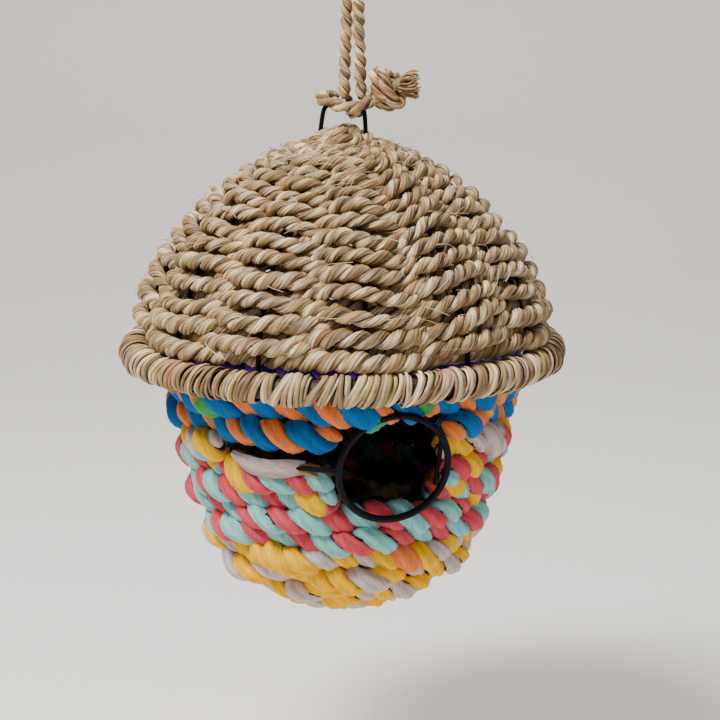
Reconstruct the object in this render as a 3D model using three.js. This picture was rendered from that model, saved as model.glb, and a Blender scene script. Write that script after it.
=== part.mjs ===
// A woven hanging birdhouse: a domed rope roof and a cord-woven nest basket on one frame of wire ribs,
// hung from a rope hitched to a small wire bail.
//
// Units are millimetres, +Z is up. The origin is the inner top of the hanging rope's bight, where a hook
// holds it, and the entrance faces -Y. Heights in the house's own group are counted from the eave's plane.

import * as THREE from 'three';

// ---- Driving dimensions ------------------------------------------------------------------------------

const CLEARANCE = 0.75;            // between a woven course and the wire that it passes
const WELD_GAP = 0.3;              // left between wires that are welded together

const RIB_COUNT = 12;
const RIB_START = -10;             // degrees, first rib counted from the entrance's direction
const RIB_WIRE = 1.0;              // radius of the rib wire
const DOME_RADIUS = 80;            // rib dome: a superellipse
const DOME_HEIGHT = 82.5;
const DOME_ACROSS = 1.5;           // its powers, across and up
const DOME_UP = 2.0;
const EAVE_INSET = 1.5;            // the ribs draw in by this much where they meet the eave ring
const CROWN_RADIUS = 10.4;         // crown ring and the bail's feet
const WALL_RADIUS = 66;            // basket's largest rib radius, under the eave
const WALL_DEPTH = 92.5;           // basket's depth below the eave plane, at the ribs
const BASE_RADIUS = 17;            // base ring

const RIM_OVERHANG = 4.3;          // from the dome's radius out to the eave ring
const RIM_TUBE = 5.9;              // radius of the binding
const RIM_CORE = 1.9;              // radius of the space inside the binding
const RIM_SLOT = 22;               // degrees, half of the opening along the binding's inner side
const EAVE_WIRE = 1.2;
const RIM_STEPS = 40;              // the eave ring and its binding are faceted alike

const ROOF_COURSES = 14;
const ROOF_FILL = 0.44;            // radius of the roof's rope as a share of the courses' pitch
const ROOF_GRADING = 0.08;         // how much wider the pitch is at the bottom, and closer at the top
const ROOF_FIRST_HEIGHT = 12;      // lowest roof course
const ROOF_LAST_RADIUS = 15.6;     // highest roof course
const WEAVE_LIMIT = 27;            // courses tighter than this lie outside the ribs

const WALL_COURSES = 12;
const WALL_GAP = 1.1;              // between neighbouring cords along the ribs
const WALL_FIRST_HEIGHT = -6.8;    // highest wall course
const WALL_FIRST_EXTRA = 2.7;      // more room under the thick first course
const WALL_LAST_RADIUS = 22.6;      // lowest wall course
const LINING_CORD = 2.9;
const LINING_HEIGHT = 3.4;
const LINING_INSET = 0.3;          // the lining lies this much further in than the ribs ask for

const ENTRANCE_SHARE = 0.37;       // the entrance's centre, as a share of the basket's depth
const ENTRANCE_RADIUS = 21.8;      // entrance ring, at the middle of its wire
const ENTRANCE_WIRE = 1.2;
const ENTRANCE_PROUD = 2;          // how far the ring's centre stands in front of the widest ribs
const ENTRANCE_TILT = 12;          // degrees, the ring leans with the wall
const RING_SEARCH = 45;            // degrees to either side of the ring's middle in which cords may meet it
const ENTRANCE_GAP = 1.0;          // between the ring and a course that stops beside it
const ARM_RISE = 0.5;              // the arm leaves the ring this much above its middle
const ARM_BOW = 1.5;
const TORN_COURSE = 3;             // the course, counted from 0, that stops early to the left of the ring
const TORN_END = -47;              // degrees

const BAIL_WIRE = 1.0;
const BAIL_RISE = 16;              // middle of the bail's bar above the dome's top
const BAIL_CORNER = 3.6;           // height of the bail's bent corners
const BAR_LEFT = 5.8;              // how far the bail's bar runs straight to either side of the house's axis
const BAR_RIGHT = 7.0;
const BAR_ANGLE = -40;             // degrees, direction of the bail's bar seen from above

const CROWN_PLUG_HEIGHT = 7.2;
const BASE_PAD_RADIUS = 15.4;
const BASE_PAD_HEIGHT = 8;

const HANGING_ROPE = 2.4;          // radius of the hanging rope
const PLY = 1.6;                   // radius of one ply of it, where it passes under the bar
const ROPE_DROP = 81.5;            // from the rope's bight down to the middle of the bail's bar
const ROPE_OFFSET = 4.45;          // the rope's hitch sits this far along the bar from the house's axis
const KNOT_RADIUS = 7.2;
const KNOT_STRETCH = 1.18;
const KNOT_CENTRE = [14.4, 0, 8.2]; // from the middle of the hitch
const TAIL_LENGTH = 9.5;
const TAIL_ROOT = 3.4;             // radii of the frayed tail
const TAIL_END = 5.0;
const TAIL_GAP = 0.3;

const WIRE_SIDES = 5;
const ROPE_SIDES = 5;
const STOPPED_STEP = 10;           // degrees between the sections of a course that the entrance stops

// ---- Sizes that follow from them ---------------------------------------------------------------------

const RIM_RADIUS = DOME_RADIUS + RIM_OVERHANG;
const ENTRANCE_HEIGHT = -ENTRANCE_SHARE * WALL_DEPTH;
const ENTRANCE_FRONT = WALL_RADIUS + ENTRANCE_PROUD;
const BAIL_HEIGHT = DOME_HEIGHT + BAIL_RISE;
const EAVE_DROP = ROPE_DROP + BAIL_HEIGHT;

// ---- Materials ---------------------------------------------------------------------------------------

function finish(color, roughness, metalness) {
  return () => new THREE.MeshStandardMaterial({ color, roughness, metalness });
}

const blackWire = finish(0x2b2b38, 0.45, 0.6);
const seagrass = finish(0xc8af82, 0.85, 0);
const hangingRope = finish(0xcdaa7d, 0.85, 0);
const blueCord = finish(0x0a86c4, 0.9, 0);
const whiteCord = finish(0xe1d7d4, 0.9, 0);
const coralCord = finish(0xe05f6e, 0.9, 0);
const yellowCord = finish(0xebc024, 0.9, 0);
const purpleCord = finish(0x5a3caa, 0.9, 0);

// ---- Helpers -----------------------------------------------------------------------------------------

const radians = THREE.MathUtils.degToRad;
const TURN = 2 * Math.PI;

// A curve given by a function of 0 to 1, sampled by that value instead of by its length.
class Route extends THREE.Curve {
  constructor(at) {
    super();
    this.at = at;
  }

  getPoint(t, target = new THREE.Vector3()) {
    return target.copy(this.at(t));
  }

  getUtoTmapping(u) {
    return u;
  }
}

// A place round the house: degrees from the entrance's direction, radius and height.
function around(degrees, radius, height) {
  const angle = radians(degrees - 90);
  return new THREE.Vector3(radius * Math.cos(angle), radius * Math.sin(angle), height);
}

function roundSection(radius, sides) {
  const corners = Array.from({ length: sides }, (_, i) => {
    const angle = (i / sides) * TURN;
    return new THREE.Vector2(radius * Math.cos(angle), radius * Math.sin(angle));
  });
  return new THREE.Shape(corners);
}

function openTube(curve, radius, sides, steps) {
  const section = roundSection(radius, sides);
  return new THREE.ExtrudeGeometry(section, { steps, extrudePath: curve, curveSegments: 1 });
}

function closedTube(curve, radius, sides, steps) {
  return new THREE.TubeGeometry(curve, steps, radius, sides, true);
}

function hoop(radius, wire, sides, steps) {
  return new THREE.TorusGeometry(radius, wire, sides, steps);
}

function lathe(outline, steps) {
  const geometry = new THREE.LatheGeometry(outline.map(([r, h]) => new THREE.Vector2(r, h)), steps);
  return geometry.rotateX(Math.PI / 2);
}

function named(name, geometry, material) {
  const mesh = new THREE.Mesh(geometry, material());
  mesh.name = name;
  return mesh;
}

const numbered = (name, index) => `${name}_${String(index + 1).padStart(2, '0')}`;

// ---- The ribs' shared outline: radius and height, from the crown to the base ------------------------

function domePoint(height) {
  const share = 1 - (height / DOME_HEIGHT) ** DOME_UP;
  return new THREE.Vector2(DOME_RADIUS * share ** (1 / DOME_ACROSS), height);
}

function domeHeight(radius) {
  return DOME_HEIGHT * (1 - (radius / DOME_RADIUS) ** DOME_ACROSS) ** (1 / DOME_UP);
}

const domeShares = [0.93, 0.85, 0.76, 0.65, 0.53, 0.40, 0.27, 0.15];
const eaveShares = [[1, 4.2], [0.52, -2.4], [0.14, -6.0]];
const wallShares = [[0.99, 0.16], [0.965, 0.30], [0.925, 0.45], [0.87, 0.60], [0.805, 0.74],
  [0.75, 0.84], [0.68, 0.92], [0.58, 0.967], [0.44, 0.994]];

const crownFoot = CROWN_RADIUS + RIB_WIRE + CLEARANCE;
const baseFoot = BASE_RADIUS + 2 * RIB_WIRE + CLEARANCE;
const eaveRadius = DOME_RADIUS - EAVE_INSET;

const ribPoints = [
  new THREE.Vector2(crownFoot + RIB_WIRE, domeHeight(crownFoot + RIB_WIRE)),
  ...domeShares.map((share) => domePoint(share * DOME_HEIGHT)),
  ...eaveShares.map(([share, height]) => new THREE.Vector2(
    WALL_RADIUS + share * (eaveRadius - WALL_RADIUS), height)),
  ...wallShares.map(([share, depth]) => new THREE.Vector2(share * WALL_RADIUS, -depth * WALL_DEPTH)),
  new THREE.Vector2(baseFoot, -WALL_DEPTH),
];
const ribLine = new THREE.SplineCurve(ribPoints);
const ribSteps = ribPoints.length - 1;
ribLine.arcLengthDivisions = 800;
const ribLength = ribLine.getLength();

// The share of the rib's length at which a test first holds.
function shareWhere(test) {
  const divisions = 2000;
  for (let i = 0; i <= divisions; i += 1) {
    if (test(ribLine.getPointAt(i / divisions))) return i / divisions;
  }
  return 1;
}

// A point beside the rib line: offset along its outward normal.
function besideRib(share, offset) {
  const point = ribLine.getPointAt(share);
  const along = ribLine.getTangentAt(share);
  return new THREE.Vector2(point.x - along.y * offset, point.y + along.x * offset);
}

const roofFirst = shareWhere((point) => point.y <= ROOF_FIRST_HEIGHT);
const roofLast = shareWhere((point) => point.x >= ROOF_LAST_RADIUS);
const roofPitch = ((roofFirst - roofLast) * ribLength) / (ROOF_COURSES - 1);
const roofRope = ROOF_FILL * roofPitch;

const wallFirst = shareWhere((point) => point.y <= WALL_FIRST_HEIGHT);
const wallLast = shareWhere((point) => point.y < 0 && point.x <= WALL_LAST_RADIUS);
const wallPitch = ((wallLast - wallFirst) * ribLength - WALL_FIRST_EXTRA) / (WALL_COURSES - 1);
const wallCord = (wallPitch - WALL_GAP) / 2;

// ---- Wire frame --------------------------------------------------------------------------------------

const ribAngles = Array.from({ length: RIB_COUNT }, (_, i) => RIB_START + (i * 360) / RIB_COUNT);

function ribStretch(degrees, from, to) {
  const route = new Route((t) => {
    const point = ribLine.getPoint((from + (to - from) * t) / ribSteps);
    return around(degrees, point.x, point.y);
  });
  return openTube(route, RIB_WIRE, WIRE_SIDES, Math.ceil(to - from));
}

// Where the rib beside the entrance's middle meets the ring, above and below.
const ringNormalTilt = radians(ENTRANCE_TILT);
const cutRibSide = ENTRANCE_FRONT * Math.sin(radians(RIB_START));
const ringRise = Math.sqrt(ENTRANCE_RADIUS ** 2 - cutRibSide ** 2) + ENTRANCE_WIRE + RIB_WIRE;

const ringCentre = new THREE.Vector3(0, -ENTRANCE_FRONT, ENTRANCE_HEIGHT);
const ringNormal = new THREE.Vector3(0, -Math.cos(ringNormalTilt), -Math.sin(ringNormalTilt));

function knotAtHeight(height) {
  const divisions = 4000;
  for (let i = 0; i <= divisions; i += 1) {
    const t = i / divisions;
    if (ribLine.getPoint(t).y <= height) return t * ribSteps;
  }
  return ribSteps;
}

function ribs() {
  const meshes = [];
  ribAngles.forEach((degrees, index) => {
    if (index > 0) {
      meshes.push(named(numbered('rib', index), ribStretch(degrees, 0, ribSteps), blackWire));
      return;
    }
    const above = knotAtHeight(ENTRANCE_HEIGHT + ringRise);
    const below = knotAtHeight(ENTRANCE_HEIGHT - ringRise);
    meshes.push(named('rib_01_upper', ribStretch(degrees, 0, above), blackWire));
    meshes.push(named('rib_01_lower', ribStretch(degrees, below, ribSteps), blackWire));
  });
  return meshes;
}

function wireHoops() {
  const crown = named('crown_ring', hoop(CROWN_RADIUS, RIB_WIRE, WIRE_SIDES, 20), blackWire);
  crown.position.z = domeHeight(crownFoot + RIB_WIRE);
  const eave = named('eave_ring', hoop(RIM_RADIUS, EAVE_WIRE, WIRE_SIDES, RIM_STEPS), blackWire);
  const base = named('base_ring', hoop(BASE_RADIUS, RIB_WIRE, WIRE_SIDES, 20), blackWire);
  base.position.z = -WALL_DEPTH;
  return [crown, eave, base];
}

function entranceRing() {
  const geometry = hoop(ENTRANCE_RADIUS, ENTRANCE_WIRE, ROPE_SIDES, 36);
  geometry.rotateX(Math.PI / 2 + ringNormalTilt);
  const ring = named('entrance_ring', geometry, blackWire);
  ring.position.set(0, -ENTRANCE_FRONT, ENTRANCE_HEIGHT);
  return ring;
}

function entranceArm() {
  const armHeight = ENTRANCE_HEIGHT + ARM_RISE;
  const rib = ribLine.getPointAt(shareWhere((point) => point.y <= armHeight)).x;
  const reach = ENTRANCE_RADIUS + ENTRANCE_WIRE + RIB_WIRE + WELD_GAP;
  const start = new THREE.Vector3(-reach, -ENTRANCE_FRONT, armHeight);
  const end = around(ribAngles[RIB_COUNT - 1] - 360, rib + 2 * RIB_WIRE + WELD_GAP, armHeight);
  const middle = start.clone().lerp(end, 0.5).add(around(RIB_START - 20, ARM_BOW, 0));
  const curve = new THREE.QuadraticBezierCurve3(start, middle, end);
  return named('entrance_arm', openTube(curve, RIB_WIRE, WIRE_SIDES, 4), blackWire);
}

// ---- Bail: an inverted U of wire that stands on the crown ring --------------------------------------

function bail() {
  const foot = domeHeight(crownFoot + RIB_WIRE) + RIB_WIRE + BAIL_WIRE + WELD_GAP;
  const left = (share) => -CROWN_RADIUS + share * (CROWN_RADIUS - BAR_LEFT);
  const right = (share) => CROWN_RADIUS - share * (CROWN_RADIUS - BAR_RIGHT);
  const straight = foot + BAIL_RISE / 3;
  const corner = BAIL_HEIGHT - BAIL_CORNER;
  const shoulder = BAIL_HEIGHT - BAIL_CORNER / 4;
  const points = [
    [left(0), foot], [left(0.09), straight], [left(0.43), corner], [left(0.63), shoulder],
    [left(1), BAIL_HEIGHT], [right(1), BAIL_HEIGHT], [right(0.47), shoulder],
    [right(0.2), corner], [right(0.03), straight], [right(0), foot],
  ];
  const steps = points.length - 1;
  const route = new Route((t) => {
    const at = Math.min(Math.floor(t * steps), steps - 1);
    const share = t * steps - at;
    const [x, z] = points[at].map((value, k) => value + (points[at + 1][k] - value) * share);
    return new THREE.Vector3(x, 0, z);
  });
  const mesh = named('bail', openTube(route, BAIL_WIRE, ROPE_SIDES, steps), blackWire);
  mesh.rotation.z = radians(BAR_ANGLE);
  return mesh;
}

// ---- Woven courses -----------------------------------------------------------------------------------

// The route of a course at a place on the ribs: in and out of them, outside first where `phase` is 1.
function courseRoute(share, cord, phase, from, to) {
  const woven = ribLine.getPointAt(share).x >= WEAVE_LIMIT;
  const reach = RIB_WIRE + cord + CLEARANCE;
  return new Route((t) => {
    const degrees = from + (to - from) * t;
    const wave = Math.cos(radians(((degrees - RIB_START) * RIB_COUNT) / 2));
    const point = besideRib(share, woven ? phase * reach * wave : reach);
    return around(degrees, point.x, point.y);
  });
}

function courseSteps(radius) {
  if (radius > 45) return 36;
  return radius > WEAVE_LIMIT ? 24 : 18;
}

function closedCourse(share, cord, phase) {
  const steps = courseSteps(ribLine.getPointAt(share).x);
  return closedTube(courseRoute(share, cord, phase, RIB_START, RIB_START + 360), cord, ROPE_SIDES, steps);
}

function roofCourses() {
  const meshes = [];
  for (let i = 0; i < ROOF_COURSES; i += 1) {
    const even = i / (ROOF_COURSES - 1);
    const graded = even + ROOF_GRADING * even * (1 - even);
    const share = roofFirst + (roofLast - roofFirst) * graded;
    const phase = i % 2 ? -1 : 1;
    meshes.push(named(numbered('roof_course', i), closedCourse(share, roofRope, phase), seagrass));
  }
  return meshes;
}

function crownPlug() {
  const base = domeHeight(crownFoot + RIB_WIRE) + RIB_WIRE + CLEARANCE;
  const radius = CROWN_RADIUS - BAIL_WIRE - CLEARANCE;
  const outline = [[0.83, 0], [1, 0.21], [1, 0.5], [0.77, 0.83], [0, 1]].map(([across, up]) => [
    across * radius, base + up * CROWN_PLUG_HEIGHT]);
  outline.unshift([0, base]);
  return named('crown_plug', lathe(outline, 16), seagrass);
}

// Half of the angle that a course leaves open for the entrance, or 0 where it passes clear of the ring.
function entranceHalfAngle(height, radius, cord) {
  const outer = ENTRANCE_RADIUS + ENTRANCE_WIRE;
  const nearest = Math.max(0, Math.abs(height - ENTRANCE_HEIGHT) - cord);
  if (nearest >= outer) return 0;
  const half = Math.sqrt(outer ** 2 - nearest ** 2) + ENTRANCE_GAP;
  return THREE.MathUtils.radToDeg(Math.asin(Math.min(0.95, half / radius)));
}

const wallColours = [blueCord, blueCord, yellowCord, whiteCord, coralCord, coralCord, coralCord,
  yellowCord, yellowCord, yellowCord, yellowCord, yellowCord];

// How near the middle of a course left whole would come to the middle of the entrance ring's wire.
function ringDistance(share, phase) {
  let nearest = Infinity;
  const route = courseRoute(share, wallCord, phase, -RING_SEARCH, RING_SEARCH);
  for (let i = 0; i <= 2 * RING_SEARCH; i += 1) {
    const offset = route.getPoint(i / (2 * RING_SEARCH)).sub(ringCentre);
    const depth = offset.dot(ringNormal);
    const outward = Math.sqrt(offset.lengthSq() - depth ** 2) - ENTRANCE_RADIUS;
    nearest = Math.min(nearest, Math.hypot(depth, outward));
  }
  return nearest;
}

// The height, over a course's weave, that comes nearest to the ring's middle.
function towardRing(share, height) {
  const reach = RIB_WIRE + wallCord + CLEARANCE;
  const heights = [height, besideRib(share, reach).y, besideRib(share, -reach).y];
  return heights.sort((a, b) => Math.abs(a - ENTRANCE_HEIGHT) - Math.abs(b - ENTRANCE_HEIGHT))[0];
}

function wallCourses() {
  const meshes = [];
  for (let i = 0; i < WALL_COURSES; i += 1) {
    const drop = i * wallPitch + (i ? WALL_FIRST_EXTRA : 0);
    const share = wallFirst + drop / ribLength;
    const point = ribLine.getPointAt(share);
    const phase = i % 2 ? -1 : 1;
    const distance = ringDistance(share, phase);
    const low = phase < 0 && point.y < ENTRANCE_HEIGHT - ENTRANCE_RADIUS + wallCord;
    const behindRing = low && distance > wallCord + ENTRANCE_WIRE;
    const meets = distance < (wallCord + ENTRANCE_WIRE) * Math.cos(Math.PI / ROPE_SIDES);
    const level = entranceHalfAngle(point.y, point.x, wallCord);
    const touching = meets ? entranceHalfAngle(towardRing(share, point.y), point.x, wallCord) : 0;
    const half = behindRing ? 0 : level || touching;
    let geometry = closedCourse(share, wallCord, phase);
    if (half) {
      const right = half;
      const left = i === TORN_COURSE ? TORN_END : -half;
      const span = 360 - right + left;
      const route = courseRoute(share, wallCord, phase, right, right + span);
      geometry = openTube(route, wallCord, ROPE_SIDES, Math.round(span / STOPPED_STEP));
    }
    meshes.push(named(numbered('wall_course', i), geometry, wallColours[i % wallColours.length]));
  }
  return meshes;
}

function eaveLining() {
  const beside = [-LINING_CORD, 0, LINING_CORD].map((rise) => ribLine.getPointAt(
    shareWhere((point) => point.y <= LINING_HEIGHT + rise)).x);
  const inside = Math.min(...beside) - RIB_WIRE - LINING_CORD - CLEARANCE - LINING_INSET;
  const mesh = named('eave_lining', hoop(inside, LINING_CORD, ROPE_SIDES, 36), purpleCord);
  mesh.position.z = LINING_HEIGHT;
  return mesh;
}

// The binding is wound round the eave ring and is open along its inner side, where its turns cross.
function rimBinding() {
  const outline = [];
  const arc = (radius, from, to, steps) => {
    for (let i = 0; i <= steps; i += 1) {
      const angle = radians(from + ((to - from) * i) / steps);
      outline.push([RIM_RADIUS + radius * Math.cos(angle), radius * Math.sin(angle)]);
    }
  };
  arc(RIM_TUBE, RIM_SLOT - 180, 180 - RIM_SLOT, 8);
  arc(RIM_CORE, 180 - RIM_SLOT, RIM_SLOT - 180, 5);
  outline.push(outline[0]);
  return named('rim_binding', lathe(outline, RIM_STEPS), seagrass);
}

function basePad() {
  const top = -WALL_DEPTH - RIB_WIRE - CLEARANCE;
  const outline = [[0, 1], [0.71, 0.92], [0.94, 0.69], [1, 0.44], [0.94, 0.12], [0.71, 0], [0, 0]].map(
    ([across, down]) => [across * BASE_PAD_RADIUS, top - down * BASE_PAD_HEIGHT]);
  return named('base_pad', lathe(outline, 18), yellowCord);
}

// ---- Hanging rope: its own group, x along the bail's bar and -y towards the entrance side ------------

const barDrop = -ROPE_DROP;

// Points along the rope, x and z: up the left leg, round the bight and down the right leg.
const ropeRoute = [
  [-3.7, -77.3], [-3.4, -68], [-2.9, -57], [-2.6, -46], [-2.5, -37], [-3.1, -30], [-5.6, -22.5],
  [-9.0, -15],
  [-10.8, -8], [-9.6, -2.2], [-5.6, 1.4], [0, 2.4], [5.6, 1.4], [9.6, -2.2], [10.8, -8], [9.0, -15],
  [5.6, -22.5], [3.1, -30], [2.5, -37], [2.6, -46], [2.9, -57], [3.4, -68], [3.7, -77.3],
];

function ropeLoop() {
  const curve = new THREE.CatmullRomCurve3(ropeRoute.map(([x, z]) => new THREE.Vector3(x, 0, z)));
  return named('hanging_rope', openTube(curve, HANGING_ROPE, 8, 44), hangingRope);
}

function strand(name, points, radius, steps) {
  const curve = new THREE.CatmullRomCurve3(points.map(([x, y, z]) => new THREE.Vector3(x, y, barDrop + z)));
  return named(name, openTube(curve, radius, ROPE_SIDES, steps), hangingRope);
}

function hitch() {
  const bridge = strand('hitch_bridge', [[-8, 4.3, 2.4], [-11.4, 3.4, 3.0], [-13.6, 0, 3.0],
    [-11.2, -3.8, 1.4], [-6, -4.6, 0.5], [0, -4.7, 0.3], [5.2, -4.6, 0.9]], HANGING_ROPE, 14);
  const saddle = strand('hitch_saddle', [[-3.4, 4.1, 2.0], [-3.3, 3.8, -0.6], [-2.1, 1.6, -3.2],
    [0, 0, -3.75], [2.1, 1.6, -3.2], [3.3, 3.8, -0.6], [3.4, 4.1, 2.0]], PLY, 14);
  return [bridge, saddle];
}

function knot() {
  const geometry = new THREE.SphereGeometry(KNOT_RADIUS, 12, 8);
  geometry.scale(1, 1, KNOT_STRETCH);
  const mesh = named('rope_knot', geometry, hangingRope);
  mesh.position.set(KNOT_CENTRE[0], KNOT_CENTRE[1], barDrop + KNOT_CENTRE[2]);
  return mesh;
}

function tail() {
  const geometry = new THREE.CylinderGeometry(TAIL_END, TAIL_ROOT, TAIL_LENGTH, 10);
  geometry.rotateZ(-Math.PI / 2);
  const mesh = named('rope_tail', geometry, hangingRope);
  mesh.position.set(KNOT_CENTRE[0] + KNOT_RADIUS + TAIL_LENGTH / 2 + TAIL_GAP, KNOT_CENTRE[1],
    barDrop + KNOT_CENTRE[2] + 1);
  return mesh;
}

// ---- Assembly ----------------------------------------------------------------------------------------

const rope = new THREE.Group();
rope.rotation.z = radians(BAR_ANGLE);
rope.add(ropeLoop(), ...hitch(), knot(), tail());

const house = new THREE.Group();
const barDirection = new THREE.Vector3(Math.cos(radians(BAR_ANGLE)), Math.sin(radians(BAR_ANGLE)), 0);
house.position.copy(barDirection).multiplyScalar(-ROPE_OFFSET);
house.position.z = -EAVE_DROP;
house.add(...wireHoops(), ...ribs(), entranceRing(), entranceArm(), bail(), crownPlug(), ...roofCourses(),
  eaveLining(), rimBinding(), ...wallCourses(), basePad());

const birdhouse = new THREE.Group();
birdhouse.add(rope, house);

export default birdhouse;
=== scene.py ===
"""Looks of a woven hanging birdhouse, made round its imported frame.

Everything is worked out in millimetres about the house's axis, with heights counted from the eave's plane,
and turned to metres in the frame at the last step.
"""
import math

import bpy
import numpy as np
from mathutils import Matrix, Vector


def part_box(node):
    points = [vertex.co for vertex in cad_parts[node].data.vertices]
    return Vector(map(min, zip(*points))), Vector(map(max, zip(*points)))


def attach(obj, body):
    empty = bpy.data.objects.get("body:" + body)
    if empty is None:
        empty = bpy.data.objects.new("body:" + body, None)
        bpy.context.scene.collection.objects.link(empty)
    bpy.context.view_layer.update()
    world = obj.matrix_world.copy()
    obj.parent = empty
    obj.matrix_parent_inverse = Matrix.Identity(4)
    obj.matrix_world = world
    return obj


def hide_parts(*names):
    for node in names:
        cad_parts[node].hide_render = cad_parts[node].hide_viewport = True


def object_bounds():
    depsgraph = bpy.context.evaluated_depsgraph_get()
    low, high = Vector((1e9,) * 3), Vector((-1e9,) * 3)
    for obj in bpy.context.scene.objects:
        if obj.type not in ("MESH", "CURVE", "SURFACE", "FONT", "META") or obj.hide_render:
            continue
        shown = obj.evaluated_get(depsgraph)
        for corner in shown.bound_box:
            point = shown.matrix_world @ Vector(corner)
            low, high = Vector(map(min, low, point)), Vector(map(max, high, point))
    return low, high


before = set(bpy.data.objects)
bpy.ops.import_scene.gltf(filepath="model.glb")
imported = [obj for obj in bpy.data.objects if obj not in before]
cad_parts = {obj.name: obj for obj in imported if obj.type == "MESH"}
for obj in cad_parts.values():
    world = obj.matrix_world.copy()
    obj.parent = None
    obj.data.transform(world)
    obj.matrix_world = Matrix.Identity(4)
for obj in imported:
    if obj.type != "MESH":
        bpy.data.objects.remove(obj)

cad_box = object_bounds()
MM = 0.001
TURN = 2 * math.pi

# ---- Sizes, in millimetres -------------------------------------------------------------------------

RIB_COUNT = 12
RIB_START = -10.0            # degrees from the entrance's direction
RIB_WIRE = 1.0
DOME_RADIUS, DOME_HEIGHT = 80.0, 82.5
DOME_ACROSS, DOME_UP = 1.5, 2.0
EAVE_INSET = 1.5
WALL_RADIUS, WALL_DEPTH = 66.0, 92.5
BASE_RADIUS = 17.0
CROWN_RADIUS = 10.4

RIM_RADIUS = 84.3            # eave ring
RIM_WIRE = 1.2
RIB_CLEARANCE = 0.75         # from a rib's middle line to the crown and base rings, past both wires
RIB_INSET = 2 * RIB_WIRE + RIB_CLEARANCE

BAR_ANGLE = math.radians(-40)
HANGING_ROPE = 2.4           # radius of the seagrass rope that the house hangs on

# ---- Places that the frame gives -------------------------------------------------------------------


def middle(node):
    low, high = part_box(node)
    return (Vector(low) + Vector(high)) / 2


AXIS = np.array(middle("eave_ring"))


def house_to_world(points):
    return AXIS + np.asarray(points) * MM


def height_of(node):
    return (middle(node).z - AXIS[2]) / MM


# ---- Curves in numpy -------------------------------------------------------------------------------


def catmull(points, steps):
    """A smooth curve through points, with that many steps between each two."""
    p = np.asarray(points, float)
    p = np.vstack([2 * p[0] - p[1], p, 2 * p[-1] - p[-2]])
    out = []
    t = np.linspace(0, 1, steps, endpoint=False)[:, None]
    for a, b, c, d in zip(p[:-3], p[1:-2], p[2:-1], p[3:]):
        out.append(0.5 * (2 * b + (c - a) * t + (2 * a - 5 * b + 4 * c - d) * t ** 2
                          + (3 * b - a - 3 * c + d) * t ** 3))
    return np.vstack(out + [p[-2]])


def lengths(points, closed=False):
    """How far along the line each point is, and the whole length."""
    ends = np.roll(points, -1, axis=0) if closed else points[1:]
    starts = points if closed else points[:-1]
    steps = np.linalg.norm(ends - starts, axis=1)
    along = np.concatenate([[0], np.cumsum(steps)])
    return (along[:-1], along[-1]) if closed else (along, along[-1])


def respaced(points, step):
    """The same line in even steps of about that length."""
    along, total = lengths(points)
    at = np.linspace(0, total, max(4, int(round(total / step))) + 1)
    return np.stack([np.interp(at, along, points[:, k]) for k in range(3)], axis=1)


def tangents(points, closed):
    if closed:
        t = np.roll(points, -1, axis=0) - np.roll(points, 1, axis=0)
    else:
        t = np.gradient(points, axis=0)
    return t / np.linalg.norm(t, axis=1)[:, None]


def square_to(directions, t):
    """Unit directions with their part along the tangents taken out."""
    n = directions - (directions * t).sum(1)[:, None] * t
    return n / np.linalg.norm(n, axis=1)[:, None]


def carried_normals(points, first):
    """A normal carried along the line without twisting."""
    t = tangents(points, False)
    normals = [np.array(first, float)]
    for a in t:
        n = normals[-1] - normals[-1].dot(a) * a
        normals.append(n / np.linalg.norm(n))
    return np.array(normals[1:])


def wobble(rng, t, cycles, size):
    """A smooth random wave over t in 0 to 1, the same at both ends."""
    waves = [rng.normal() * np.cos(TURN * (c * t + rng.random())) for c in cycles]
    return size * sum(waves) / math.sqrt(len(cycles))


# ---- Meshes ----------------------------------------------------------------------------------------


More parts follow.
